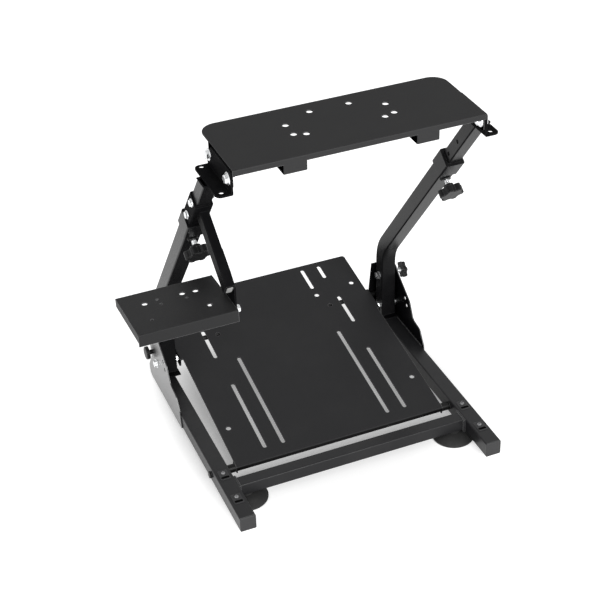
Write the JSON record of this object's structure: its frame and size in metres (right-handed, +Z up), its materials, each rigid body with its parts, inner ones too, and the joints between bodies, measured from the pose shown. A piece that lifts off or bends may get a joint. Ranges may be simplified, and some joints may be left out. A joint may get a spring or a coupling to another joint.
{
  "type": "racing wheel stand",
  "caption": "Folding racing wheel stand of square steel tube with a wheel deck on leaning uprights, a sloping slotted pedal plate and a side shifter tray.",
  "frame": {"origin": "on the floor, on the mid-plane between the rails, midway between the front cross tube and the fold axis", "axes": "+Z up, +Y away from the seated user, +X to the user's right"},
  "size_m": [0.6702, 0.6046, 0.701],
  "materials": {
    "black_steel": "satin powder coat",
    "black_plastic": "moulded matte",
    "rubber": "matte",
    "zinc_steel": "zinc plated"
  },
  "bodies": {
    "base": {"left_rail": "black_steel", "right_rail": "black_steel", "left_rail_caps": "black_plastic", "right_rail_caps": "black_plastic", "front_cross_tube": "black_steel", "front_left_foot": "rubber", "front_right_foot": "rubber", "rear_left_foot": "rubber", "rear_right_foot": "rubber", "left_outer_gusset": "black_steel", "right_outer_gusset": "black_steel", "left_inner_gusset": "black_steel", "right_inner_gusset": "black_steel", "tie_rod": "black_steel", "left_fold_bolt": "zinc_steel", "right_fold_bolt": "zinc_steel", "left_pedal_bolt": "zinc_steel", "right_pedal_bolt": "zinc_steel", "pedal_plate": "black_steel"},
    "arms": {"left_lower_arm": "black_steel", "right_lower_arm": "black_steel", "left_collar": "black_steel", "right_collar": "black_steel"},
    "upper": {"left_upper_tube": "black_steel", "right_upper_tube": "black_steel", "left_deck_bracket": "black_steel", "right_deck_bracket": "black_steel", "wheel_deck": "black_steel", "shifter_sleeve": "black_steel", "shifter_arm": "black_steel", "shifter_plate": "black_steel", "shifter_tray": "black_steel"},
    "left_lock": {"left_lock_knob": "black_plastic"},
    "right_lock": {"right_lock_knob": "black_plastic"},
    "left_clamp": {"left_clamp_knob": "black_plastic"},
    "right_clamp": {"right_clamp_knob": "black_plastic"}
  },
  "joints": [
    {"name": "arm_fold", "type": "hinge", "parent": "base", "child": "arms", "pos_m": [0, 0.1775, 0.0755], "axis": [1, 0, 0], "range_deg": [0, 45]},
    {"name": "deck_height", "type": "slide", "parent": "arms", "child": "upper", "axis": [0, -0.6198, 0.7848], "range_m": [0, 0.15]},
    {"name": "left_lock_turn", "type": "hinge", "parent": "base", "child": "left_lock", "pos_m": [-0.256, 0.1775, 0.148], "axis": [-1, 0, 0], "continuous": true},
    {"name": "right_lock_turn", "type": "hinge", "parent": "base", "child": "right_lock", "pos_m": [0.256, 0.1775, 0.148], "axis": [1, 0, 0], "continuous": true},
    {"name": "left_clamp_turn", "type": "hinge", "parent": "arms", "child": "left_clamp", "pos_m": [-0.236, -0.07001, 0.49113], "axis": [0, -0.7848, -0.6198], "continuous": true},
    {"name": "right_clamp_turn", "type": "hinge", "parent": "arms", "child": "right_clamp", "pos_m": [0.236, -0.07001, 0.49113], "axis": [0, -0.7848, -0.6198], "continuous": true}
  ]
}
